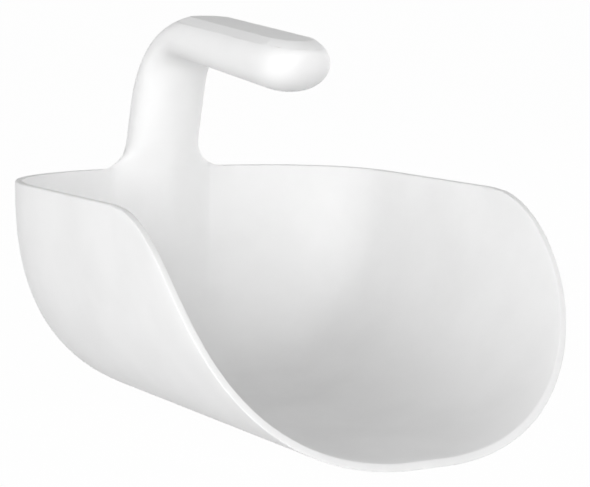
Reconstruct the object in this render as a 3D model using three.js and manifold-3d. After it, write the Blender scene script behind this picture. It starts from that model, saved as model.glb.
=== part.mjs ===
// Hand scoop: a round-bottomed bowl with a swept mouth, a hollow bent handle and the cover of its grip.
// Millimetres, +Z up. The pieces are made with the back wall at y = 0 and the mouth towards -Y, then moved
// along Y so that the origin lies under the middle of the scoop. The foot stands on z = 0.
import * as THREE from "three";
import { mergeVertices } from "three/addons/utils/BufferGeometryUtils.js";
import Module from "manifold-3d";

// Bowl
const BOWL_WIDTH = 192;
const RIM_HEIGHT = 100;
const WALL = 3;
const FOOT_WIDTH = 24; // flat strip that the bowl stands on
const BACK_DEPTH = 66; // from the back wall to where the sides run straight
const BACK_POWER = 2.47; // plan of the rounded back: 2 is an ellipse, more is squarer
const SIDE_POWER = 2.51; // cross section of the trough
const HEEL_POWER = 2.88; // curve from the back wall into the floor

// Mouth, as a side view: a level rim, a rounded shoulder and a sweep down to the lip
const RIM_LENGTH = 147; // level part of the rim, from the back wall
const LIP_REACH = 240; // from the back wall to the lip at the floor
const SHOULDER_REACH = 52;
const SWEEP_RUN = 20;
const SWEEP_RISE = 25;

// Handle
const POST_SETBACK = 2; // from the back wall to the post's axis, at the rim
const POST_LEAN = 14.6; // degrees, forwards
const POST_WIDTH = 35.3;
const POST_FRONT = 13; // from the post's axis to its round front
const POST_BACK = 9.5; // and to its flatter back
const POST_BACK_POWER = 3.3;
const KNEE_HEIGHT = 68.4; // from the rim to where the axes of post and grip meet
const KNEE_OUTER = 60.5;
const KNEE_INNER = 9;
const GRIP_SLOPE = 7.2; // degrees, down to the free end
const CROWN_SLOPE = 5.6; // degrees, of the grip's top, which falls less
const GRIP_LENGTH = 125.7; // from the knee to the tip
const GRIP_WIDTH = 33.2;
const GRIP_UNDER = 12.1; // from the grip's axis to its underside
const GRIP_CROWN = 13.1; // and, halfway along, to the crown that the flat cuts off
const GRIP_FLAT = 10.5; // and to that flat on its top
const ROUND_POWER = 2.2;
const TIP_LENGTH = 23; // rounded part at the free end
const TIP_POWER = 1.7; // how its top, its plan and its underside close: 2 is an ellipse, more is blunter
const TIP_PLAN_POWER = 2.5;
const TIP_UNDER_POWER = 2.3;
const TIP_RISE = 5.5; // from the grip's axis up to the tip
const HANDLE_WALL = 3;
const HOLLOW_START = 17; // solid part of the post above the rim
const ROOT_LEAN = 5.4; // degrees, of the post's foot inside the bowl
const ROOT_DROP = 75; // from the rim down to the end of the post's foot
const ROOT_FILLET = 16; // where the post's sides run into the rim, in front
const BACK_FILLET = 8; // and at its back
const ROOT_EASE = 3; // rounding between the leans of the post and of its foot
const ROOT_SETBACK = 0.3; // between the skins of the post and of the flare around it
const RIB_MARGIN = 9; // from the post's side to where its foot ends on the wall
const RIB_CROWN = 1.6; // power of the foot's ridge
const RIB_POWER = 1.3; // and of its soft edge on the wall
const RIB_FADE = 4; // how far the foot's lower end stands off the wall as it fades
const WEB_POWER = 6; // of the flare's rounded edge on the rim

// Grip cover
const COVER_THICKNESS = 3;
const COVER_CHAMFER = 38; // degrees, of the facet on each side of the flat
const PLUG_DEPTH = 3;
const PLUG_MARGIN = 8; // from the ends of the grip's straight part to the plug

const CLEARANCE = 0.3; // between pieces that touch

// Fineness
const BACK_STEPS = 36;
const LEVELS = 22;
const MOUTH_STEPS = 36;
const SECTION_POINTS = 36;
const BEND_STEPS = 14;
const TIP_STEPS = 9;
const TIP_CLOSE = 0.97; // share of the tip's curve before its small flat end
const RIB_STEPS = 36;
const ROOT_LEVELS = 16;
const PLUG_STEPS = 10;
const WELD_REACH = 1e-4; // points nearer to each other than this are one

const wasm = await Module();
wasm.setup();

const { degToRad: radians, lerp, smoothstep } = THREE.MathUtils;
const LEAN_TAN = Math.tan(radians(POST_LEAN));
const ROOT_TAN = Math.tan(radians(ROOT_LEAN));

// How far a superellipse of the given power has narrowed at a share (0 to 1) of its depth.
function narrowing(share, power) {
  return Math.pow(Math.max(0, 1 - Math.pow(share, power)), 1 / power);
}

// The lesser of two values, rounded where they come within a reach of each other.
function smoothMin(first, second, reach) {
  const overlap = Math.max(reach - Math.abs(first - second), 0) / reach;
  return Math.min(first, second) - (overlap * overlap * reach) / 4;
}

// A closed solid through rings of points; each ring turns anticlockwise about the direction to the next.
function loft(rings) {
  const count = rings[0].length;
  const points = rings.flat();
  const faces = [];
  for (let k = 0; k + 1 < rings.length; k += 1) {
    for (let i = 0; i < count; i += 1) {
      const j = (i + 1) % count;
      const low = k * count;
      const high = low + count;
      faces.push(low + i, low + j, high + j);
      faces.push(low + i, high + j, high + i);
    }
  }
  const last = (rings.length - 1) * count;
  const centre = (ring) => ring.reduce((sum, p) => sum.add(p), new THREE.Vector3()).divideScalar(count);
  points.push(centre(rings[0]), centre(rings[rings.length - 1]));
  for (let i = 0; i < count; i += 1) {
    const j = (i + 1) % count;
    faces.push(points.length - 2, j, i);
    faces.push(points.length - 1, last + i, last + j);
  }
  const geometry = new THREE.BufferGeometry().setFromPoints(points);
  geometry.setIndex(faces);
  return toSolid(geometry);
}

function toSolid(geometry) {
  const bare = new THREE.BufferGeometry().setAttribute("position", geometry.getAttribute("position"));
  bare.setIndex(geometry.getIndex());
  const merged = mergeVertices(bare, WELD_REACH);
  const triVerts = new Uint32Array(merged.getIndex().array);
  const vertProperties = new Float32Array(merged.getAttribute("position").array);
  return new wasm.Manifold(new wasm.Mesh({ numProp: 3, vertProperties, triVerts }));
}

function toMesh(name, solid, material) {
  const data = solid.getMesh();
  const geometry = new THREE.BufferGeometry();
  geometry.setAttribute("position", new THREE.BufferAttribute(new Float32Array(data.vertProperties), 3));
  geometry.setIndex(new THREE.BufferAttribute(new Uint32Array(data.triVerts), 1));
  geometry.computeVertexNormals();
  const mesh = new THREE.Mesh(geometry, material);
  mesh.name = name;
  mesh.position.y = LIP_REACH / 2;
  return mesh;
}

// A prism across the scoop: a side-view outline of [y, z] points, extruded along X about the middle plane.
function sidePrism(outline, width) {
  const shape = new THREE.Shape(outline.map(([y, z]) => new THREE.Vector2(y, z)));
  const geometry = new THREE.ExtrudeGeometry(shape, { depth: width, bevelEnabled: false, steps: 1 });
  geometry.translate(0, 0, -width / 2);
  const toSide = new THREE.Matrix4().makeBasis(
    new THREE.Vector3(0, 1, 0),
    new THREE.Vector3(0, 0, 1),
    new THREE.Vector3(1, 0, 0),
  );
  return toSolid(geometry.applyMatrix4(toSide));
}

// The trough
// The section's curve would end a little under the foot, which cuts it off flat.
const SECTION_DEPTH = RIM_HEIGHT / narrowing(FOOT_WIDTH / BOWL_WIDTH, SIDE_POWER);
const TROUGH_END = LIP_REACH + BOWL_WIDTH;

// Where the back wall stands at a height, for a skin set inwards from the outside.
function backWall(z, inset) {
  const share = Math.max(0, RIM_HEIGHT - z) / (SECTION_DEPTH - inset);
  return (BACK_DEPTH - inset) * narrowing(share, HEEL_POWER) - BACK_DEPTH;
}

// Half the width of a skin at a height.
function sideWall(z, inset) {
  const share = Math.max(0, RIM_HEIGHT - z) / (SECTION_DEPTH - inset);
  return (BOWL_WIDTH / 2 - inset) * narrowing(share, SIDE_POWER);
}

// Where the rounded back of a skin stands, at a place across the bowl and a height.
function wallAt(x, z, inset) {
  const share = Math.min(1, Math.abs(x) / sideWall(z, inset));
  return (backWall(z, inset) + BACK_DEPTH) * narrowing(share, BACK_POWER) - BACK_DEPTH;
}

function planRing(z, inset, end) {
  const half = sideWall(z, inset);
  const depth = backWall(z, inset) + BACK_DEPTH;
  const ring = [new THREE.Vector3(half, -end, z)];
  for (let i = 0; i <= BACK_STEPS; i += 1) {
    const angle = (Math.PI * i) / BACK_STEPS;
    const x = half * Math.sign(Math.cos(angle)) * Math.pow(Math.abs(Math.cos(angle)), 2 / BACK_POWER);
    const y = depth * Math.pow(Math.sin(angle), 2 / BACK_POWER) - BACK_DEPTH;
    ring.push(new THREE.Vector3(x, y, z));
  }
  ring.push(new THREE.Vector3(-half, -end, z));
  return ring;
}

// The solid inside one skin of the trough, from its floor up to the given height.
function trough(inset, top, end) {
  const floor = inset;
  const rings = [];
  for (let k = 0; k <= LEVELS; k += 1) {
    const angle = (Math.PI / 2) * (1 - k / LEVELS);
    const drop = Math.pow(Math.sin(angle), 2 / SIDE_POWER);
    const z = RIM_HEIGHT - (RIM_HEIGHT - floor) * drop;
    rings.push(planRing(z, inset, end));
  }
  if (top > RIM_HEIGHT) {
    rings.push(planRing(RIM_HEIGHT, inset, end).map((p) => p.setZ(top)));
  }
  return loft(rings);
}

// Everything in front of the mouth's swept edge.
function mouthCutter() {
  const curve = new THREE.CubicBezierCurve(
    new THREE.Vector2(-RIM_LENGTH, RIM_HEIGHT),
    new THREE.Vector2(-RIM_LENGTH - SHOULDER_REACH, RIM_HEIGHT),
    new THREE.Vector2(-LIP_REACH + SWEEP_RUN, SWEEP_RISE),
    new THREE.Vector2(-LIP_REACH, 0),
  );
  const edge = curve.getPoints(MOUTH_STEPS).map((p) => [p.x, p.y]);
  const beyond = TROUGH_END + BOWL_WIDTH;
  const [lipY, lipZ] = edge[edge.length - 1];
  const tail = [lipY - SWEEP_RUN, lipZ - SWEEP_RISE];
  const above = RIM_HEIGHT + WALL;
  const outline = [[-RIM_LENGTH, above], ...edge, tail, [-beyond, tail[1]], [-beyond, above]];
  return sidePrism(outline, 2 * BOWL_WIDTH);
}

const bowl = trough(0, RIM_HEIGHT, TROUGH_END)
  .subtract(trough(WALL, RIM_HEIGHT + WALL, TROUGH_END + WALL))
  .subtract(mouthCutter());

// The handle's side view: the axes of post and grip, and a rail to each side of them
const postUp = new THREE.Vector2(-Math.sin(radians(POST_LEAN)), Math.cos(radians(POST_LEAN)));
const postOut = new THREE.Vector2(postUp.y, -postUp.x);
const gripAlong = new THREE.Vector2(-Math.cos(radians(GRIP_SLOPE)), -Math.sin(radians(GRIP_SLOPE)));
const gripOut = new THREE.Vector2(gripAlong.y, -gripAlong.x);
const flatAlong = new THREE.Vector2(-Math.cos(radians(CROWN_SLOPE)), -Math.sin(radians(CROWN_SLOPE)));
const flatOut = new THREE.Vector2(flatAlong.y, -flatAlong.x);
const knee = new THREE.Vector2(-POST_SETBACK - KNEE_HEIGHT * LEAN_TAN, RIM_HEIGHT + KNEE_HEIGHT);
const halfway = knee.clone().addScaledVector(gripAlong, GRIP_LENGTH / 2);

function alongPost(height, out) {
  const run = (height - KNEE_HEIGHT) / Math.cos(radians(POST_LEAN));
  return knee.clone().addScaledVector(postUp, run).addScaledVector(postOut, out);
}

function alongGrip(run, out) {
  return knee.clone().addScaledVector(gripAlong, run).addScaledVector(gripOut, out);
}

function alongCrown(run, out) {
  return halfway.clone().addScaledVector(flatAlong, run - GRIP_LENGTH / 2).addScaledVector(flatOut, out);
}

// The bend of one rail: an arc between its line beside the post and a line beside the grip, through a point.
function railBend(postOffset, point, along, radius) {
  const side = new THREE.Vector2(along.y, -along.x);
  const turn = Math.acos(postUp.dot(along));
  const foot = knee.clone().addScaledVector(postOut, postOffset);
  const rise = point.clone().sub(foot).dot(side) / postUp.dot(side);
  const start = foot.addScaledVector(postUp, rise - radius * Math.tan(turn / 2));
  const hub = start.clone().addScaledVector(postOut, -radius);
  return (share) => {
    const angle = turn * share;
    const out = postOut.clone().multiplyScalar(Math.cos(angle)).addScaledVector(postUp, Math.sin(angle));
    return hub.clone().addScaledVector(out, radius);
  };
}

// Stations from a height on the post to the tip: the outer and inner rail points of a skin set inwards.
function stations(startHeight, inset) {
  const back = POST_BACK - inset;
  const front = POST_FRONT - inset;
  const crown = GRIP_CROWN - inset;
  const under = GRIP_UNDER - inset;
  const outerBend = railBend(back, alongCrown(0, crown), flatAlong, KNEE_OUTER - inset);
  const innerBend = railBend(-front, alongGrip(0, -under), gripAlong, KNEE_INNER + inset);
  const level = (height) => {
    return { outer: alongPost(height, back), inner: alongPost(height, -front), share: 0, scale: 1 };
  };
  const list = [level(startHeight)];
  for (let i = 0; i <= BEND_STEPS; i += 1) {
    const share = i / BEND_STEPS;
    list.push({ outer: outerBend(share), inner: innerBend(share), share, scale: 1 });
  }
  for (let i = 0; i <= TIP_STEPS; i += 1) {
    const along = Math.sin((Math.PI / 2) * (i / TIP_STEPS) * TIP_CLOSE);
    const run = GRIP_LENGTH - TIP_LENGTH + (TIP_LENGTH - inset) * along;
    const scale = narrowing(along, TIP_PLAN_POWER);
    const tip = Math.min(TIP_RISE, crown - inset);
    const end = alongCrown(run, tip);
    const outer = end.clone().lerp(alongCrown(run, crown), narrowing(along, TIP_POWER));
    const inner = end.clone().lerp(alongGrip(run, -under), narrowing(along, TIP_UNDER_POWER));
    list.push({ outer, inner, share: 1, scale });
  }
  return list;
}

function handleSweep(startHeight, inset) {
  const rings = stations(startHeight, inset).map(({ outer, inner, share, scale }) => {
    const half = (lerp(POST_WIDTH, GRIP_WIDTH, share) / 2 - inset) * scale;
    const outerPart = lerp(POST_BACK, GRIP_CROWN, share) - inset;
    const innerPart = lerp(POST_FRONT, GRIP_UNDER, share) - inset;
    const middle = inner.clone().lerp(outer, innerPart / (innerPart + outerPart));
    const ring = [];
    for (let i = 0; i < SECTION_POINTS; i += 1) {
      const angle = (2 * Math.PI * i) / SECTION_POINTS;
      const outwards = Math.sin(angle) > 0;
      const power = outwards ? lerp(POST_BACK_POWER, ROUND_POWER, share) : ROUND_POWER;
      const across = Math.sign(Math.cos(angle)) * Math.pow(Math.abs(Math.cos(angle)), 2 / power) * half;
      const out = Math.pow(Math.abs(Math.sin(angle)), 2 / power);
      const at = middle.clone().lerp(outwards ? outer : inner, out);
      ring.push(new THREE.Vector3(across, at.x, at.y));
    }
    return ring;
  });
  return loft(rings);
}

// Cuts by planes parallel to the grip's flat, at a height above the middle of the grip's axis.
const flatNormal = [0, flatOut.x, flatOut.y];
const axisOffset = flatOut.dot(halfway);

function belowGrip(solid, height) {
  return solid.trimByPlane(flatNormal.map((n) => -n), -(axisOffset + height));
}

function aboveGrip(solid, height) {
  return solid.trimByPlane(flatNormal, axisOffset + height);
}

// The root: the post's foot runs down the back wall as a soft rib until the wall swallows it.
const ROOT_BOTTOM = RIM_HEIGHT - ROOT_DROP;
const RIB_HALF = POST_WIDTH / 2 + RIB_MARGIN;

function postAxis(z) {
  const drop = RIM_HEIGHT - z;
  return smoothMin(drop * LEAN_TAN, drop * ROOT_TAN, ROOT_EASE) - POST_SETBACK;
}

// How far the flare has turned from a rib on the wall into the post's own section.
function flareRise(z) {
  return smoothstep(z, RIM_HEIGHT, RIM_HEIGHT + ROOT_FILLET);
}

function flareHalf(z, fillet) {
  const left = 1 - (z - RIM_HEIGHT) / ROOT_FILLET;
  return POST_WIDTH / 2 - ROOT_SETBACK + fillet * (1 - Math.sqrt(1 - left * left));
}

// The rib and flare stand out of the post's skin at the rim and end inside it.
function frontDepth(z) {
  return POST_FRONT / Math.cos(radians(POST_LEAN)) + ROOT_SETBACK * (1 - 2 * flareRise(z));
}

function ribFront(x, z) {
  const low = Math.min(z, RIM_HEIGHT);
  const proud = wallAt(0, low, WALL) - postAxis(z) + frontDepth(z);
  const swell = -smoothMin(-proud, 0, RIB_FADE);
  const share = Math.min(1, Math.abs(x) / RIB_HALF);
  return wallAt(x, low, WALL) - swell * Math.pow(1 - Math.pow(share, RIB_CROWN), RIB_POWER);
}

function ribRing(z) {
  const ring = [];
  for (let i = 0; i <= RIB_STEPS; i += 1) {
    const x = RIB_HALF * ((2 * i) / RIB_STEPS - 1);
    ring.push(new THREE.Vector3(x, ribFront(x, z), z));
  }
  ring.push(new THREE.Vector3(RIB_HALF, BACK_DEPTH, z));
  ring.push(new THREE.Vector3(-RIB_HALF, BACK_DEPTH, z));
  return ring;
}

// The flare narrows along its fillets, from the rib at the rim to the post's own section.
function flareRing(share) {
  const z = RIM_HEIGHT + ROOT_FILLET * share;
  const half = flareHalf(z, ROOT_FILLET);
  const backHalf = flareHalf(z, BACK_FILLET);
  const end = wallAt(half, RIM_HEIGHT, WALL);
  const backDepth = POST_BACK / Math.cos(radians(POST_LEAN)) - ROOT_SETBACK;
  const front = [];
  const back = [];
  for (let i = 0; i <= RIB_STEPS; i += 1) {
    const across = -Math.cos((Math.PI * i) / RIB_STEPS);
    const side = Math.abs(across);
    const web = lerp(end, ribFront(half * across, z), narrowing(side, WEB_POWER));
    const postFront = postAxis(z) - frontDepth(z) * narrowing(side, ROUND_POWER);
    const postBack = postAxis(z) + backDepth * narrowing(side, POST_BACK_POWER);
    front.push(new THREE.Vector3(half * across, lerp(web, postFront, flareRise(z)), z));
    back.push(new THREE.Vector3(backHalf * across, lerp(0, postBack, Math.sqrt(share)), z));
  }
  return [...front, ...back.slice(1, -1).reverse()];
}

function rootSolid() {
  const rib = [];
  for (let k = 0; k <= ROOT_LEVELS; k += 1) {
    rib.push(ribRing(lerp(ROOT_BOTTOM, RIM_HEIGHT, k / ROOT_LEVELS)));
  }
  const flare = [];
  for (let k = 0; k <= BEND_STEPS; k += 1) {
    flare.push(flareRing(1 - Math.cos(((Math.PI / 2) * k) / BEND_STEPS)));
  }
  const outside = trough(0, RIM_HEIGHT + 2 * ROOT_FILLET, 2 * BACK_DEPTH);
  return loft(rib).add(loft(flare)).intersect(outside);
}

// The room the handle may fill: all above the rim, and inside the bowl up to its wall.
function handleRoom() {
  const height = KNEE_HEIGHT + 2 * GRIP_CROWN;
  const above = new THREE.BoxGeometry(2 * BOWL_WIDTH, 2 * (GRIP_LENGTH + BACK_DEPTH), height);
  above.translate(0, 0, RIM_HEIGHT + CLEARANCE + height / 2);
  return trough(WALL + CLEARANCE, RIM_HEIGHT + 2 * CLEARANCE, 2 * BACK_DEPTH).add(toSolid(above));
}

// The post starts inside the flare, and its back is cut flush with the back wall.
const sweep = handleSweep(ROOT_FILLET / 2, 0).trimByPlane([0, -1, 0], 0);
const body = belowGrip(sweep, GRIP_FLAT);
const shell = belowGrip(sweep, GRIP_FLAT - COVER_THICKNESS - CLEARANCE);
const hollow = handleSweep(HOLLOW_START, HANDLE_WALL);
const handle = shell.add(rootSolid()).intersect(handleRoom()).subtract(hollow);

// The cover's plug fits the hollow where it opens under the cover.
const openingShare = (GRIP_FLAT - COVER_THICKNESS) / (GRIP_CROWN - HANDLE_WALL);
const PLUG_HALF = (GRIP_WIDTH / 2 - HANDLE_WALL) * narrowing(openingShare, ROUND_POWER) - CLEARANCE;

function plugSolid() {
  const turn = Math.acos(postUp.dot(flatAlong));
  const start = (KNEE_OUTER - GRIP_CROWN) * Math.tan(turn / 2) + PLUG_MARGIN;
  const end = GRIP_LENGTH - TIP_LENGTH - PLUG_MARGIN;
  const shape = new THREE.Shape();
  shape.absarc(0, start + PLUG_HALF, PLUG_HALF, Math.PI, 2 * Math.PI);
  shape.absarc(0, end - PLUG_HALF, PLUG_HALF, 0, Math.PI);
  const thickness = PLUG_DEPTH + COVER_THICKNESS / 2;
  const options = { depth: thickness, bevelEnabled: false, curveSegments: PLUG_STEPS };
  const geometry = new THREE.ExtrudeGeometry(shape, options);
  geometry.translate(0, 0, GRIP_FLAT - COVER_THICKNESS - PLUG_DEPTH);
  const frame = new THREE.Matrix4().makeBasis(
    new THREE.Vector3(-1, 0, 0),
    new THREE.Vector3(0, flatAlong.x, flatAlong.y),
    new THREE.Vector3(0, flatOut.x, flatOut.y),
  );
  const origin = alongCrown(0, 0);
  frame.setPosition(0, origin.x, origin.y);
  return toSolid(geometry.applyMatrix4(frame));
}

// The facets rise from the cover's lower edges.
function chamferCover(solid) {
  const tilt = radians(COVER_CHAMFER);
  const height = GRIP_FLAT - COVER_THICKNESS;
  const edge = (GRIP_WIDTH / 2) * narrowing(height / GRIP_CROWN, ROUND_POWER);
  const reach = edge * Math.sin(tilt) + (axisOffset + height) * Math.cos(tilt);
  const [, y, z] = flatNormal.map((n) => -n * Math.cos(tilt));
  return solid.trimByPlane([-Math.sin(tilt), y, z], -reach).trimByPlane([Math.sin(tilt), y, z], -reach);
}

const gripCover = chamferCover(aboveGrip(body, GRIP_FLAT - COVER_THICKNESS)).add(plugSolid());

const white = new THREE.MeshStandardMaterial({ color: 0xf2f2f0, roughness: 0.45, metalness: 0 });
const scoop = new THREE.Group();
scoop.name = "hand_scoop";
scoop.add(toMesh("bowl", bowl, white));
scoop.add(toMesh("handle", handle, white));
scoop.add(toMesh("grip_cover", gripCover, white));

export default scoop;
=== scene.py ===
"""Looks of a white moulded hand scoop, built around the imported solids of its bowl, handle and grip cover.

Lengths of the scoop and its finish are millimetres, and Blender gets metres. The studio is in metres. The
shapes are worked out with the back wall at y = 0 and the mouth towards -Y, then moved along Y into the part's
own frame.
"""

from __future__ import annotations

import logging
import math
from dataclasses import dataclass, field
from enum import Enum
from typing import Callable

import bpy
from mathutils import Matrix, Vector

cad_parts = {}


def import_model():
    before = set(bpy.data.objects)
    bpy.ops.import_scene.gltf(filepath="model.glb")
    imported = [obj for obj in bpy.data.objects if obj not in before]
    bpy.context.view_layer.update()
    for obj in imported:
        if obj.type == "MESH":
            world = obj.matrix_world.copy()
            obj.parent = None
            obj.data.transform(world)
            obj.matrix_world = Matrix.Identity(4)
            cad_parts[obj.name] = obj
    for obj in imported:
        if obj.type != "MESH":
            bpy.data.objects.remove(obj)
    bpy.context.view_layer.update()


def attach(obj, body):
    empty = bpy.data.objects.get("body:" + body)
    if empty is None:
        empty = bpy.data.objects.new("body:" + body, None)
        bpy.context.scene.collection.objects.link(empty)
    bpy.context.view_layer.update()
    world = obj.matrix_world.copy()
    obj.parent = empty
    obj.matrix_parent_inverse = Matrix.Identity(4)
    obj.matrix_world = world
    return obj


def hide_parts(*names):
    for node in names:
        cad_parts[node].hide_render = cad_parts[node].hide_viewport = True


LOG = logging.getLogger("hand_scoop")
MM = 0.001
BODY = "root"
MERGE_DISTANCE = 1e-6  # metres
LEAST_ROUND = 0.001  # mm, so that a rounding never has no radius
HALVINGS = 50
QUARTER_TURN = math.pi / 2
WHITE = (1.0, 1.0, 1.0, 1.0)


class Keep(Enum):
    """The side of a cut that stays."""

    BELOW = "below"
    ABOVE = "above"


def linear(hex_colour: str) -> tuple[float, float, float, float]:
    """Turn an sRGB hex value into the linear colour that Blender's sockets take, by the standard's curve.

    Args:
        hex_colour: six hex digits after a #.

    Returns:
        Linear red, green, blue, and an alpha of 1.
    """
    parts = [int(hex_colour[i : i + 2], 16) / 255 for i in (1, 3, 5)]
    red, green, blue = (p / 12.92 if p <= 0.04045 else ((p + 0.055) / 1.055) ** 2.4 for p in parts)
    return red, green, blue, 1.0


def lerp(start: float, end: float, share: float) -> float:
    """Go a share of the way from start to end."""
    return start + (end - start) * share


def narrowing(share: float, power: float) -> float:
    """Say how far a superellipse has narrowed at a share (0 to 1) of its depth.

    Args:
        share: how deep, from 0 at the widest to 1 at the end.
        power: 2 for an ellipse, more for a squarer curve.

    Returns:
        The width that is left there, from 1 to 0.
    """
    return max(0.0, 1 - abs(share) ** power) ** (1 / power)


def smooth_min(first: float, second: float, radius: float) -> float:
    """Take the lesser of two values, rounded where they cross.

    Args:
        first: one value.
        second: the other value.
        radius: how far apart they are when the rounding starts.

    Returns:
        The rounded lesser value.
    """
    overlap = max(radius - abs(first - second), 0.0) / radius
    return min(first, second) - overlap * overlap * radius / 4


def add_node(
    tree: bpy.types.NodeTree, kind: str, inputs: dict[str | int, object] | None = None, **settings: object
) -> bpy.types.Node:
    """Add a node with its settings, its input values and its links.

    Args:
        tree: the tree that gets the node.
        kind: the node's type.
        inputs: by name or number, a value to set or an output socket to link.
        settings: the node's own options.

    Returns:
        The new node.
    """
    node = tree.nodes.new(kind)
    for name, value in settings.items():
        setattr(node, name, value)
    for name, value in (inputs or {}).items():
        if isinstance(value, bpy.types.NodeSocket):
            tree.links.new(value, node.inputs[name])
        else:
            node.inputs[name].default_value = value
    return node


def pick(*pieces: bpy.types.Object) -> None:
    """Leave edit mode and select these pieces alone, the first one active.

    Args:
        pieces: what is selected, or nothing.
    """
    if bpy.context.object is not None and bpy.context.object.mode != "OBJECT":
        bpy.ops.object.mode_set(mode="OBJECT")
    bpy.ops.object.select_all(action="DESELECT")
    for piece in pieces:
        piece.select_set(True)
    if pieces:
        bpy.context.view_layer.objects.active = pieces[0]


def edit(piece: bpy.types.Object) -> None:
    """Open one piece in edit mode with all of it selected.

    Args:
        piece: what is opened.
    """
    pick(piece)
    bpy.ops.object.mode_set(mode="EDIT")
    bpy.ops.mesh.select_all(action="SELECT")


def wrapped_grid(name: str, columns: int, rows: int, place: Callable[[int, int], Vector]) -> bpy.types.Object:
    """Add a grid and lay it on a curved skin, because no operator bends a surface to a superellipse.

    Args:
        name: the piece's name.
        columns: faces along the grid.
        rows: faces across it.
        place: where the point of a column and row goes, in mm in the part's frame.

    Returns:
        The skin, with points that meet merged into one.
    """
    pick()
    bpy.ops.mesh.primitive_grid_add(x_subdivisions=columns, y_subdivisions=rows, size=2.0)
    skin = bpy.context.object
    skin.name = skin.data.name = name
    for vertex in skin.data.vertices:
        column = round((vertex.co.x + 1) / 2 * columns)
        row = round((vertex.co.y + 1) / 2 * rows)
        vertex.co = place(column, row) * MM
    edit(skin)
    bpy.ops.mesh.remove_doubles(threshold=MERGE_DISTANCE)
    bpy.ops.mesh.normals_make_consistent(inside=False)
    bpy.ops.object.mode_set(mode="OBJECT")
    return skin


@dataclass(frozen=True)
class MouldedPlastic:
    """White polypropylene, injection moulded: a satin skin with a fine grain and a faintly uneven gloss."""

    name: str
    colour: str = "#F4F4F4"
    cloud: str = "#F0F0F0"
    roughness: float = 0.5
    roughness_range: float = 0.06
    ior: float = 1.49
    specular: float = 0.1  # the grain breaks up most of the gloss
    cloud_size: float = 45.0
    cloud_range: tuple[float, float] = (0.35, 0.6)
    cloud_detail: float = 3.0
    cloud_roughness: float = 0.5
    grain_size: float = 0.9  # the mould's grain is nearer 0.2 mm; drawn coarser so that it shows
    grain_height: float = 0.006
    grain_detail: float = 2.0
    grain_strength: float = 0.5
    scuff_size: float = 1.4
    scuff_length: float = 60.0
    scuff_range: tuple[float, float] = (0.3, 0.7)
    scuff_detail: float = 4.0

    def material(self) -> bpy.types.Material:
        """Make the material's nodes, on Object coordinates in metres.

        Returns:
            The material.
        """
        made = bpy.data.materials.new(self.name)
        made.use_nodes = True
        tree = made.node_tree
        tree.nodes.clear()
        place = add_node(tree, "ShaderNodeTexCoord").outputs["Object"]
        cloud = add_node(
            tree,
            "ShaderNodeTexNoise",
            {
                "Vector": place,
                "Scale": 1 / (self.cloud_size * MM),
                "Detail": self.cloud_detail,
                "Roughness": self.cloud_roughness,
            },
        )
        tint = add_node(tree, "ShaderNodeValToRGB", {"Fac": cloud.outputs["Fac"]})
        colours = (self.cloud, self.colour)
        for stop, position, colour in zip(tint.color_ramp.elements, self.cloud_range, colours):
            stop.position = position
            stop.color = linear(colour)
        fine, long = 1 / (self.scuff_size * MM), 1 / (self.scuff_length * MM)
        drawn = add_node(tree, "ShaderNodeMapping", {"Vector": place, "Scale": (fine, long, fine)})
        scuff = add_node(
            tree,
            "ShaderNodeTexNoise",
            {"Vector": drawn.outputs["Vector"], "Scale": 1.0, "Detail": self.scuff_detail},
        )
        gloss = add_node(
            tree,
            "ShaderNodeMapRange",
            {
                "Value": scuff.outputs["Fac"],
                "From Min": self.scuff_range[0],
                "From Max": self.scuff_range[1],
                "To Min": self.roughness - self.roughness_range / 2,
                "To Max": self.roughness + self.roughness_range / 2,
            },
        )
        grain = add_node(
            tree,
            "ShaderNodeTexNoise",
            {"Vector": place, "Scale": 1 / (self.grain_size * MM), "Detail": self.grain_detail},
        )
        bump = add_node(
            tree,
            "ShaderNodeBump",
            {
                "Height": grain.outputs["Fac"],
                "Strength": self.grain_strength,
                "Distance": self.grain_height * MM,
            },
        )
        shader = add_node(
            tree,
            "ShaderNodeBsdfPrincipled",
            {
                "Base Color": tint.outputs["Color"],
                "Roughness": gloss.outputs["Result"],
                "Normal": bump.outputs["Normal"],
                "IOR": self.ior,
                "Specular IOR Level": self.specular,
                "Metallic": 0.0,
            },
        )
        add_node(tree, "ShaderNodeOutputMaterial", {"Surface": shader.outputs["BSDF"]})
        return made


def dress(piece: bpy.types.Object, finish: MouldedPlastic, node: str) -> None:
    """Give a piece its finish and let it stand for its CAD node.

    Args:
        piece: the modelled piece.
        finish: what it is made of.
        node: the node that it replaces.
    """
    piece.data.materials.clear()
    piece.data.materials.append(finish.material())
    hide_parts(node)
    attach(piece, BODY)


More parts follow.
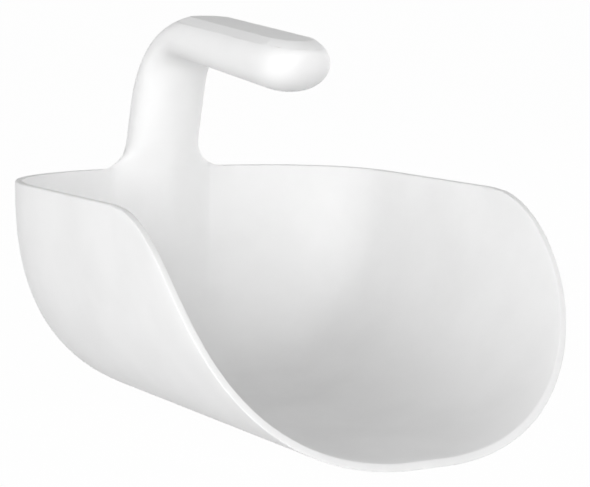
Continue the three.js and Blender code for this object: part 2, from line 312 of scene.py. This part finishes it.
@dataclass
class Bowl:
    """The round-bottomed trough with its swept mouth."""

    width: float = 192.0
    rim_height: float = 100.0
    wall: float = 3.0
    foot_width: float = 24.0
    back_depth: float = 66.0
    back_power: float = 2.47  # plan of the rounded back: 2 is an ellipse, more is squarer
    side_power: float = 2.51  # cross section of the trough
    heel_power: float = 2.88  # curve from the back wall into the floor
    rim_length: float = 147.0
    lip_reach: float = 240.0
    shoulder_reach: float = 52.0
    sweep_run: float = 20.0
    sweep_rise: float = 25.0
    edge_round: float = 0.6
    edge_steps: int = 3
    first_row: float = 0.065  # share of the mouth's curve, so that the rim's rounding has room under it
    curve_rows: int = 36
    foot_rows: int = 3
    side_columns: int = 16
    back_columns: int = 56
    sharp_angle: float = 40.0  # degrees, from which an edge is rounded
    finish: MouldedPlastic = MouldedPlastic("moulded_bowl_polypropylene")

    @property
    def shift(self) -> float:
        """How far the part's frame lies from the back wall, along Y."""
        return self.lip_reach / 2

    def share(self, z: float, inset: float) -> float:
        """Say how deep a height lies in the section of a skin set inwards, from 0 at the rim."""
        depth = self.rim_height / narrowing(self.foot_width / self.width, self.side_power)
        return max(0.0, self.rim_height - z) / (depth - inset)

    def half_width(self, z: float, inset: float) -> float:
        """Give half the width of a skin at a height."""
        return (self.width / 2 - inset) * narrowing(self.share(z, inset), self.side_power)

    def depth_at(self, z: float, inset: float) -> float:
        """Give the depth of the rounded back of a skin at a height."""
        return (self.back_depth - inset) * narrowing(self.share(z, inset), self.heel_power)

    def wall_at(self, x: float, z: float, inset: float) -> float:
        """Give where the back wall of a skin stands, at a place across the bowl and a height."""
        across = min(1.0, abs(x) / self.half_width(z, inset))
        return self.depth_at(z, inset) * narrowing(across, self.back_power) - self.back_depth

    def mouth(self, share: float) -> tuple[float, float]:
        """Give a point of the mouth's edge in the side view, from the level rim to the lip.

        Args:
            share: 0 at the end of the level rim, 1 at the lip.

        Returns:
            Its y and z.
        """
        shoulder = -self.rim_length - self.shoulder_reach
        ends = (-self.rim_length, shoulder, self.sweep_run - self.lip_reach, -self.lip_reach)
        heights = (self.rim_height, self.rim_height, self.sweep_rise, 0.0)
        rest = 1 - share
        weights = (rest**3, 3 * rest * rest * share, 3 * rest * share * share, share**3)
        y = sum(weight * end for weight, end in zip(weights, ends))
        z = sum(weight * height for weight, height in zip(weights, heights))
        return y, z

    def mouth_share(self, z: float) -> float:
        """Find where the mouth's edge has a height, by halving.

        Args:
            z: the height.

        Returns:
            The share of the mouth's curve.
        """
        low, high = 0.0, 1.0
        for _ in range(HALVINGS):
            middle = (low + high) / 2
            low, high = (middle, high) if self.mouth(middle)[1] > z else (low, middle)
        return low

    def skin(self, name: str, inset: float) -> bpy.types.Object:
        """Model one skin of the trough: rings from the rim down, each from mouth to mouth around the back.

        Args:
            name: the skin's name.
            inset: how far it lies inside the outer skin.

        Returns:
            The open skin.
        """
        last = self.mouth_share(inset)

        def place(column: int, row: int) -> Vector:
            """Lay one point on the skin.

            Args:
                column: from mouth to mouth around the back.
                row: from the rim down to the middle of the foot.

            Returns:
                Its place in the part's frame.
            """
            along = 0.0
            if row:
                turn = QUARTER_TURN * min(1.0, (row - 1) / (self.curve_rows - 1))
                along = lerp(self.first_row, last, math.sin(turn))
            y_end, z = self.mouth(along)
            half = self.half_width(z, inset) * (1 - max(0, row - self.curve_rows) / self.foot_rows)
            around = column - self.side_columns
            if 0 <= around <= self.back_columns:
                angle = math.pi * around / self.back_columns
                cosine = math.cos(angle)
                x = math.copysign(abs(cosine) ** (2 / self.back_power), cosine) * half
                y = self.depth_at(z, inset) * abs(math.sin(angle)) ** (2 / self.back_power) - self.back_depth
            else:
                x = half if around < 0 else -half
                beyond = -around if around < 0 else around - self.back_columns
                y = lerp(-self.back_depth, y_end, beyond / self.side_columns)
            if row == self.curve_rows + self.foot_rows:
                x = 0.0
            return Vector((x, y + self.shift, z))

        columns = 2 * self.side_columns + self.back_columns
        return wrapped_grid(name, columns, self.curve_rows + self.foot_rows, place)

    def build(self) -> bpy.types.Object:
        """Join the outer and inner skins along the rim and mouth, round their edges and dress the bowl.

        Returns:
            The bowl.
        """
        bowl = self.skin("scoop_bowl", 0.0)
        inside = self.skin("scoop_bowl_inside", self.wall)
        pick(bowl, inside)
        bpy.ops.object.join()
        edit(bowl)
        bpy.ops.mesh.select_mode(type="EDGE")
        bpy.ops.mesh.select_all(action="DESELECT")
        bpy.ops.mesh.select_non_manifold(extend=False)
        bpy.ops.mesh.bridge_edge_loops()
        bpy.ops.mesh.select_all(action="SELECT")
        bpy.ops.mesh.normals_make_consistent(inside=False)
        bpy.ops.mesh.select_all(action="DESELECT")
        bpy.ops.mesh.edges_select_sharp(sharpness=math.radians(self.sharp_angle))
        bpy.ops.mesh.bevel(offset=self.edge_round * MM, segments=self.edge_steps, affect="EDGES")
        bpy.ops.object.mode_set(mode="OBJECT")
        bpy.ops.object.shade_smooth()
        dress(bowl, self.finish, "bowl")
        return bowl


@dataclass
class Station:
    """One place along the handle: its outer and inner rail points in the side view, and its section's form.

    Attributes:
        outer: the rail point on the back of the post or the top of the grip.
        inner: the rail point on the front of the post or the underside of the grip.
        share: 0 for the post's section, 1 for the grip's.
        scale: how much of the section's width is left.
    """

    outer: Vector
    inner: Vector
    share: float = 0.0
    scale: float = 1.0


@dataclass
class Handle:
    """The bent handle with its root on the bowl's back wall, and the cover on its grip."""

    bowl: Bowl
    post_setback: float = 2.0
    post_lean: float = 14.6  # degrees, forwards
    post_width: float = 35.3
    post_front: float = 13.0
    post_back: float = 9.5
    post_back_power: float = 3.3
    knee_height: float = 68.4
    knee_outer: float = 60.5
    knee_inner: float = 9.0
    grip_slope: float = 7.2  # degrees, down to the free end
    crown_slope: float = 5.6  # degrees, of the grip's top, which falls less
    grip_length: float = 125.7
    grip_width: float = 33.2
    grip_under: float = 12.1
    grip_crown: float = 13.1
    grip_flat: float = 10.5
    round_power: float = 2.2
    tip_length: float = 23.0
    tip_power: float = 1.7  # how the tip's top, its plan and its underside close
    tip_plan_power: float = 2.5
    tip_under_power: float = 2.3
    tip_rise: float = 5.5
    root_lean: float = 5.4  # degrees, of the post's foot inside the bowl
    root_end: float = 72.0  # from the rim down to where the wall has swallowed the root
    root_fillet: float = 16.0  # where the post's sides run into the rim, in front
    back_fillet: float = 8.0  # and at its back
    cover_thickness: float = 3.0
    cover_chamfer: float = 38.0  # degrees, of the facet on each side of the flat
    cover_step: float = 0.15  # by which the cover's lower edge stands back from the handle's
    seam: float = 0.04  # between the handle and the cover
    edge_round: float = 0.35
    edge_steps: int = 2
    sharp_angle: float = 30.0  # degrees, from which an edge is shaded as one
    sink: float = 0.03  # of the root's feathered edge into the wall
    heart: float = 1.2  # of the root's unseen back into the wall
    seat: float = 1.2  # of the flare's unseen foot below the rim
    root_ease: float = 3.0  # rounds the change from the post's lean to the root's
    rib_margin: float = 9.0  # from the post's side to where the root ends on the wall
    rib_crown: float = 1.6  # power of its ridge
    rib_fall: float = 1.3  # and of its soft edge
    rib_fade: float = 4.0  # how far its lower end stands off the wall as it fades
    web_power: float = 6.0  # of the flare's rounded edge on the rim
    flush_round: float = 1.5  # where the post's back is held flush with the bowl's
    half_points: int = 44
    root_rows: int = 30
    flare_rows: int = 14
    post_rows: int = 6
    bend_rows: int = 26
    grip_rows: int = 22
    tip_rows: int = 22
    finish: MouldedPlastic = MouldedPlastic("moulded_handle_polypropylene")
    cover_finish: MouldedPlastic = MouldedPlastic("moulded_cover_polypropylene")
    up: Vector = field(init=False)
    out: Vector = field(init=False)
    along: Vector = field(init=False)
    crown_along: Vector = field(init=False)
    crown_out: Vector = field(init=False)
    knee: Vector = field(init=False)
    halfway: Vector = field(init=False)

    def __post_init__(self) -> None:
        """Work out the side view's axes."""
        lean, slope, crown = (math.radians(a) for a in (self.post_lean, self.grip_slope, self.crown_slope))
        self.up = Vector((-math.sin(lean), math.cos(lean)))
        self.out = Vector((self.up.y, -self.up.x))
        self.along = Vector((-math.cos(slope), -math.sin(slope)))
        self.crown_along = Vector((-math.cos(crown), -math.sin(crown)))
        self.crown_out = Vector((self.crown_along.y, -self.crown_along.x))
        height = self.bowl.rim_height + self.knee_height
        self.knee = Vector((-self.post_setback - self.knee_height * math.tan(lean), height))
        self.halfway = self.knee + self.along * (self.grip_length / 2)

    def post_axis(self, z: float) -> float:
        """Give where the post's axis stands, easing into the root's own lean under the rim.

        Args:
            z: height.

        Returns:
            Its y.
        """
        drop = self.bowl.rim_height - z
        post, root = (drop * math.tan(math.radians(lean)) for lean in (self.post_lean, self.root_lean))
        return smooth_min(post, root, self.root_ease) - self.post_setback

    def beside_post(self, height: float, offset: float) -> Vector:
        """Give a point beside the post's axis, at a height above the rim."""
        run = (height - self.knee_height) / math.cos(math.radians(self.post_lean))
        return self.knee + self.up * run + self.out * offset

    def under_grip(self, run: float, offset: float) -> Vector:
        """Give a point under the grip's axis, at a run from the knee."""
        return self.knee + self.along * run - Vector((self.along.y, -self.along.x)) * offset

    def over_grip(self, run: float, offset: float) -> Vector:
        """Give a point over the grip's axis, on a line along its top."""
        return self.halfway + self.crown_along * (run - self.grip_length / 2) + self.crown_out * offset

    def bend(self, offset: float, point: Vector, along: Vector, radius: float) -> Callable[[float], Vector]:
        """Round the corner between a rail beside the post and a rail beside the grip.

        Args:
            offset: of the post's rail from its axis.
            point: any point of the grip's rail.
            along: the way the grip's rail runs.
            radius: of the arc.

        Returns:
            A function from a share of the bend to its point.
        """
        side = Vector((along.y, -along.x))
        turn = math.acos(self.up.dot(along))
        foot = self.knee + self.out * offset
        rise = (point - foot).dot(side) / self.up.dot(side)
        hub = foot + self.up * (rise - radius * math.tan(turn / 2)) - self.out * radius

        def arc(share: float) -> Vector:
            """Give the bend's point at a share of its turn."""
            return hub + (self.out * math.cos(turn * share) + self.up * math.sin(turn * share)) * radius

        return arc

    def across(self, index: int, power: float) -> tuple[float, float]:
        """Give a section's point across and outwards, as shares.

        Args:
            index: the point's number on one half of the section.
            power: of the half's superellipse.

        Returns:
            Its place across, from -1 to 1, and outwards, from 0 to 1.
        """
        angle = math.pi * index / self.half_points
        cosine = math.cos(angle)
        return -math.copysign(abs(cosine) ** (2 / power), cosine), abs(math.sin(angle)) ** (2 / power)

    def ring(self, front: Callable[[int], Vector], back: Callable[[int], Vector]) -> list[Vector]:
        """Close a ring: the front half from left to right, then the back half from right to left."""
        first = [front(i) for i in range(self.half_points + 1)]
        return first + [back(i) for i in range(self.half_points - 1, 0, -1)]

    def flare_half(self, z: float, fillet: float) -> float:
        """Give half the flare's width: full under the rim, then narrowing along a fillet to the post."""
        left = 1 - min(1.0, max(0.0, z - self.bowl.rim_height) / self.root_fillet)
        return self.post_width / 2 + fillet * (1 - math.sqrt(1 - left * left))

    def flare_rise(self, z: float) -> float:
        """Say how far the flare has turned from a rib on the wall into the post's section, from 0 to 1."""
        share = min(1.0, max(0.0, z - self.bowl.rim_height) / self.root_fillet)
        return share * share * (3 - 2 * share)

    def rib_skin(self, x: float, z: float) -> float:
        """Give the front of the rib on the bowl's back wall, which ends softly on the wall to each side.

        Args:
            x: place across the bowl.
            z: height.

        Returns:
            Its y.
        """
        low = min(z, self.bowl.rim_height)
        middle = self.bowl.wall_at(0.0, low, self.bowl.wall)
        proud = middle - self.post_axis(z) + self.post_front / math.cos(math.radians(self.post_lean))
        swell = -smooth_min(-proud, 0.0, self.rib_fade)
        share = min(1.0, abs(x) / (self.post_width / 2 + self.rib_margin))
        left = (1 - share**self.rib_crown) ** self.rib_fall
        return self.bowl.wall_at(x, low, self.bowl.wall) - swell * left

    def front_skin(self, x: float, z: float) -> float:
        """Give the front of the root and flare.

        Args:
            x: place across the bowl.
            z: height, up to the flare's top.

        Returns:
            Its y: the rib's under the rim, then a rounded web that becomes the post's round front.
        """
        rib = self.rib_skin(x, z)
        if z <= self.bowl.rim_height:
            return rib + self.sink
        half = self.flare_half(z, self.root_fillet)
        share = min(1.0, abs(x) / half)
        end = self.bowl.wall_at(half, self.bowl.rim_height, self.bowl.wall) + self.sink
        web = end - (end - rib) * narrowing(share, self.web_power)
        depth = self.post_front / math.cos(math.radians(self.post_lean))
        post = self.post_axis(z) - depth * narrowing(share, self.round_power)
        return lerp(web, post, self.flare_rise(z))

    def back_skin(self, x: float, z: float, seated: bool) -> float:
        """Give the back of the root and flare.

        Args:
            x: place across the bowl.
            z: height, up to the flare's top.
            seated: whether it runs right through the wall, as the flare and its foot do.

        Returns:
            Its y: hidden in the wall under the rim, then from the wall's outside to the post's back.
        """
        low = min(z, self.bowl.rim_height)
        if not seated:
            return self.bowl.wall_at(x, low, self.bowl.wall) + self.heart
        depth = self.post_back / math.cos(math.radians(self.post_lean))
        share = min(1.0, abs(x) / self.flare_half(z, self.back_fillet))
        round_back = narrowing(share, self.post_back_power)
        rise = min(1.0, max(0.0, z - low) / self.root_fillet)
        flush = lerp(self.bowl.wall_at(x, low, 0.0), self.post_axis(z) + depth * round_back, math.sqrt(rise))
        return smooth_min(flush, 0.0, self.flush_round * rise + LEAST_ROUND)

    def root_ring(self, z: float, seated: bool = False, closed: bool = False) -> list[Vector]:
        """Make a ring of the root or the flare.

        Args:
            z: its height.
            seated: whether it runs right through the wall.
            closed: whether its front lies on its back, to end the root.

        Returns:
            The ring.
        """
        front_half = self.flare_half(z, self.root_fillet)
        back_half = self.flare_half(z, self.back_fillet) if seated else front_half
        back_power = lerp(self.round_power, self.post_back_power, self.flare_rise(z))

        def back(index: int) -> Vector:
            """Lay one point of the back."""
            x = back_half * self.across(index, self.round_power if closed else back_power)[0]
            return Vector((x, self.back_skin(x, z, seated), z))

        def front(index: int) -> Vector:
            """Lay one point of the front."""
            x = front_half * self.across(index, self.round_power)[0]
            return Vector((x, self.front_skin(x, z), z))

        return self.ring(back if closed else front, back)

    def section(self, station: Station) -> list[Vector]:
        """Make the ring of one station: a round underside or front, and a back or crown of its own power.

        Args:
            station: the place along the handle.

        Returns:
            The ring.
        """
        half = lerp(self.post_width, self.grip_width, station.share) / 2 * station.scale
        outer_part = lerp(self.post_back, self.grip_crown, station.share)
        inner_part = lerp(self.post_front, self.grip_under, station.share)
        middle = station.inner.lerp(station.outer, inner_part / (inner_part + outer_part))
        back_power = lerp(self.post_back_power, self.round_power, station.share)

        def lay(index: int, power: float, rail: Vector) -> Vector:
            """Lay one point, flush with the bowl's back wall where the section would stand behind it.

            Args:
                index: the point's number on its half of the section.
                power: of that half's superellipse.
                rail: the rail point that the half reaches.

            Returns:
                Its place.
            """
            side, out = self.across(index, power)
            at = middle.lerp(rail, out)
            return Vector((half * side, smooth_min(at.x, 0.0, self.flush_round), at.y))

        return self.ring(
            lambda index: lay(index, self.round_power, station.inner),
            lambda index: lay(index, back_power, station.outer),
        )

    def stations(self) -> list[Station]:
        """List the places along the handle.

        Returns:
            The stations from above the flare to the tip.
        """
        crown, under = self.over_grip(0, self.grip_crown), self.under_grip(0, self.grip_under)
        outer_bend = self.bend(self.post_back, crown, self.crown_along, self.knee_outer)
        inner_bend = self.bend(-self.post_front, under, self.along, self.knee_inner)
        lean = math.radians(self.post_lean)
        low = self.root_fillet + self.post_front * math.sin(lean) + self.flush_round
        start = Station(self.beside_post(low, self.post_back), self.beside_post(low, -self.post_front))
        first = Station(outer_bend(0), inner_bend(0))
        places = []
        for i in range(self.post_rows):
            share = i / self.post_rows
            places.append(Station(start.outer.lerp(first.outer, share), start.inner.lerp(first.inner, share)))
        for i in range(self.bend_rows):
            share = i / self.bend_rows
            places.append(Station(outer_bend(share), inner_bend(share), share))
        bent = Station(outer_bend(1), inner_bend(1), 1.0)
        tip_run = self.grip_length - self.tip_length
        outer_end = self.over_grip(tip_run, self.grip_crown)
        inner_end = self.under_grip(tip_run, self.grip_under)
        for i in range(self.grip_rows):
            share = i / self.grip_rows
            places.append(Station(bent.outer.lerp(outer_end, share), bent.inner.lerp(inner_end, share), 1.0))
        for i in range(self.tip_rows + 1):
            share = math.sin(QUARTER_TURN * i / self.tip_rows)
            run = tip_run + self.tip_length * share
            end = self.over_grip(run, self.tip_rise)
            outer = end.lerp(self.over_grip(run, self.grip_crown), narrowing(share, self.tip_power))
            inner = end.lerp(self.under_grip(run, self.grip_under), narrowing(share, self.tip_under_power))
            places.append(Station(outer, inner, 1.0, narrowing(share, self.tip_plan_power)))
        return places

    def rings(self) -> list[list[Vector]]:
        """List the handle's rings.

        Returns:
            The rings from the end of its root to the tip.
        """
        rim = self.bowl.rim_height
        low, high = rim - self.root_end, rim - self.seat - self.sink
        found = [self.root_ring(low, closed=True)]
        found += [self.root_ring(lerp(low, high, i / self.root_rows)) for i in range(self.root_rows + 1)]
        found.append(self.root_ring(rim - self.seat, seated=True))
        for i in range(self.flare_rows + 1):
            share = 1 - math.cos(QUARTER_TURN * i / self.flare_rows)
            found.append(self.root_ring(rim + self.root_fillet * share, seated=True))
        return found + [self.section(s) for s in self.stations()]

    def cut(
        self, piece: bpy.types.Object, height: float, keep: Keep, side: float = 0.0, tilt: float = 0.0
    ) -> None:
        """Cut a piece along a plane that runs with the grip's flat and close it.

        Args:
            piece: what is cut.
            height: of the plane over the middle of the grip's axis.
            keep: the side that stays.
            side: where the plane has that height, across the grip.
            tilt: degrees by which the plane leans out to that side.
        """
        at = self.halfway + self.crown_out * height
        lean = math.radians(tilt)
        out = self.crown_out * math.cos(lean)
        edit(piece)
        bpy.ops.mesh.bisect(
            plane_co=Vector((side, at.x + self.bowl.shift, at.y)) * MM,
            plane_no=Vector((math.copysign(math.sin(lean), side), out.x, out.y)),
            use_fill=True,
            clear_inner=keep is Keep.ABOVE,
            clear_outer=keep is Keep.BELOW,
        )

    def build(self) -> tuple[bpy.types.Object, bpy.types.Object]:
        """Model the handle in one sweep, part the grip's cover from it and dress both.

        Returns:
            The handle and the cover.
        """
        rings = self.rings()
        around = len(rings[0])
        shift = Vector((0, self.bowl.shift, 0))

        def place(column: int, row: int) -> Vector:
            """Lay one point on its ring."""
            return rings[row][column % around] + shift

        handle = wrapped_grid("scoop_handle", around, len(rings) - 1, place)
        pick(handle)
        bpy.ops.object.duplicate()
        cover = bpy.context.object
        cover.name = cover.data.name = "scoop_grip_cover"
        split = self.grip_flat - self.cover_thickness
        self.cut(handle, split - self.seam / 2, Keep.BELOW)
        self.cut(cover, split + self.seam / 2, Keep.ABOVE)
        edge = self.grip_width / 2 * narrowing(split / self.grip_crown, self.round_power) - self.cover_step
        for side in (-edge, edge):
            self.cut(cover, split, Keep.BELOW, side, self.cover_chamfer)
        self.cut(cover, self.grip_flat, Keep.BELOW)
        # The last cut leaves the edge of the flat selected.
        bpy.ops.mesh.bevel(offset=self.edge_round * MM, segments=self.edge_steps, affect="EDGES")
        for piece in (handle, cover):
            pick(piece)
            bpy.ops.object.shade_smooth_by_angle(angle=math.radians(self.sharp_angle))
        # The cover, picked last, keeps its flat and facets evenly shaded beside their rounded edges.
        bpy.ops.object.modifier_add(type="WEIGHTED_NORMAL")
        cover.modifiers[-1].keep_sharp = True
        bpy.ops.object.modifier_apply(modifier=cover.modifiers[-1].name)
        dress(handle, self.finish, "handle")
        dress(cover, self.cover_finish, "grip_cover")
        return handle, cover


def shown_rays(tree: bpy.types.NodeTree) -> bpy.types.NodeSocket:
    """Make a value that is 1 for the rays that show the background: camera, glossy and transmission.

    Args:
        tree: the tree that gets the nodes.

    Returns:
        The value's socket.
    """
    path = add_node(tree, "ShaderNodeLightPath")
    first = add_node(
        tree,
        "ShaderNodeMath",
        {0: path.outputs["Is Camera Ray"], 1: path.outputs["Is Glossy Ray"]},
        operation="MAXIMUM",
    )
    both = add_node(
        tree,
        "ShaderNodeMath",
        {0: first.outputs["Value"], 1: path.outputs["Is Transmission Ray"]},
        operation="MAXIMUM",
    )
    return both.outputs["Value"]


@dataclass(frozen=True)
class WhitePaper:
    """The floor's paper: white to the camera, with a trace of the scoop's shadow."""

    name: str = "white_paper"
    colour: str = "#F4F4F4"
    glow: float = 0.985  # share of plain white that the camera sees, over the shadow

    def material(self) -> bpy.types.Material:
        """Make the material's nodes.

        Returns:
            The material.
        """
        made = bpy.data.materials.new(self.name)
        made.use_nodes = True
        tree = made.node_tree
        tree.nodes.clear()
        matt = add_node(tree, "ShaderNodeBsdfDiffuse", {"Color": linear(self.colour)})
        glow = add_node(tree, "ShaderNodeEmission", {"Color": WHITE, "Strength": 1.0})
        share = add_node(
            tree,
            "ShaderNodeMath",
            {0: shown_rays(tree), 1: self.glow},
            operation="MULTIPLY",
        )
        mixed = add_node(
            tree,
            "ShaderNodeMixShader",
            {0: share.outputs["Value"], 1: matt.outputs["BSDF"], 2: glow.outputs["Emission"]},
        )
        add_node(tree, "ShaderNodeOutputMaterial", {"Surface": mixed.outputs["Shader"]})
        return made


@dataclass(frozen=True)
class Softbox:
    """One soft studio lamp: a square light that faces the scoop."""

    name: str
    azimuth: float  # degrees
    elevation: float  # degrees
    power: float  # watts
    distance: float = 1.7
    size: float = 1.2
    target: tuple[float, float, float] = (0.0, 0.0, 0.07)

    def place(self) -> None:
        """Hang the lamp, with azimuth 0 in front of the mouth and elevation above the floor."""
        turn, rise = math.radians(self.azimuth), math.radians(self.elevation)
        back = Vector((math.sin(turn) * math.cos(rise), -math.cos(turn) * math.cos(rise), math.sin(rise)))
        pick()
        bpy.ops.object.light_add(type="AREA", location=Vector(self.target) + back * self.distance)
        lamp = bpy.context.object
        lamp.name = self.name
        lamp.rotation_euler = (-back).to_track_quat("-Z", "Y").to_euler()
        lamp.data.shape = "SQUARE"
        lamp.data.size = self.size
        lamp.data.energy = self.power


@dataclass
class Studio:
    """The plain pale floor, the soft light and the camera, in metres."""

    floor_size: float = 80.0
    floor_drop: float = 0.0002
    paper: WhitePaper = WhitePaper()
    sky_side: float = 0.0
    sky_top: float = 0.28
    softboxes: tuple[Softbox, ...] = (
        Softbox("back_light", -115.0, 6.0, 3.0),
        Softbox("key_light", -80.0, 8.0, 9.4),
        Softbox("middle_light", -50.0, 8.0, 13.2),
        Softbox("front_light", -20.0, 8.0, 13.2),
        Softbox("side_light", 60.0, 28.0, 6.8),
        Softbox("edge_light", 100.0, 8.0, 13.0),
    )
    # The camera's place and axes, fitted to the lines of the rim and mouth.
    eye: tuple[float, float, float] = (-0.45195, -0.77198, 0.18937)
    right: tuple[float, float, float] = (0.86009, -0.50993, 0.01449)
    above: tuple[float, float, float] = (0.05173, 0.11544, 0.99197)
    near_clip: float = 0.01
    lens: float = 124.6  # mm
    sensor: float = 36.0  # mm

    def camera(self) -> None:
        """Set the camera up at the photograph's angle."""
        across, upwards = Vector(self.right).normalized(), Vector(self.above).normalized()
        back = across.cross(upwards)
        pick()
        bpy.ops.object.camera_add(location=self.eye)
        camera = bpy.context.object
        camera.name = "studio_camera"
        camera.rotation_euler = Matrix((across, upwards, back)).transposed().to_euler()
        camera.data.sensor_fit = "HORIZONTAL"
        camera.data.sensor_width = self.sensor
        camera.data.lens = self.lens
        camera.data.clip_start = self.near_clip
        bpy.context.scene.camera = camera

    def floor(self) -> None:
        """Lay the floor as stage."""
        pick()
        bpy.ops.mesh.primitive_plane_add(size=self.floor_size, location=(0, 0, -self.floor_drop))
        floor = bpy.context.object
        floor.name = "floor"
        floor.data.materials.append(self.paper.material())

    def world(self) -> None:
        """Light the scoop dimly, most from straight above, before a background that shows white."""
        world = bpy.data.worlds.new("studio")
        bpy.context.scene.world = world
        world.use_nodes = True
        tree = world.node_tree
        tree.nodes.clear()
        way = add_node(tree, "ShaderNodeTexCoord").outputs["Generated"]
        height = add_node(tree, "ShaderNodeSeparateXYZ", {"Vector": way}).outputs["Z"]
        level = add_node(
            tree,
            "ShaderNodeMapRange",
            {
                "Value": height,
                "From Min": 0.0,
                "From Max": 1.0,
                "To Min": self.sky_side,
                "To Max": self.sky_top,
            },
        )
        soft = add_node(tree, "ShaderNodeBackground", {"Color": WHITE, "Strength": level.outputs["Result"]})
        white = add_node(tree, "ShaderNodeBackground", {"Color": WHITE, "Strength": 1.0})
        mixed = add_node(
            tree,
            "ShaderNodeMixShader",
            {0: shown_rays(tree), 1: soft.outputs["Background"], 2: white.outputs["Background"]},
        )
        add_node(tree, "ShaderNodeOutputWorld", {"Surface": mixed.outputs["Shader"]})

    def build(self) -> None:
        """Put the camera, floor, world and lamps in place."""
        bpy.context.scene.view_settings.view_transform = "Standard"
        self.camera()
        self.floor()
        self.world()
        for softbox in self.softboxes:
            softbox.place()


def main() -> None:
    """Build the studio and the scoop's pieces in order."""
    logging.basicConfig(level=logging.INFO, format="%(name)s: %(message)s")
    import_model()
    Studio().build()
    bowl = Bowl()
    for piece in (bowl.build(), *Handle(bowl).build()):
        LOG.info("%s: %d faces", piece.name, len(piece.data.polygons))


if __name__ == "__main__":
    main()
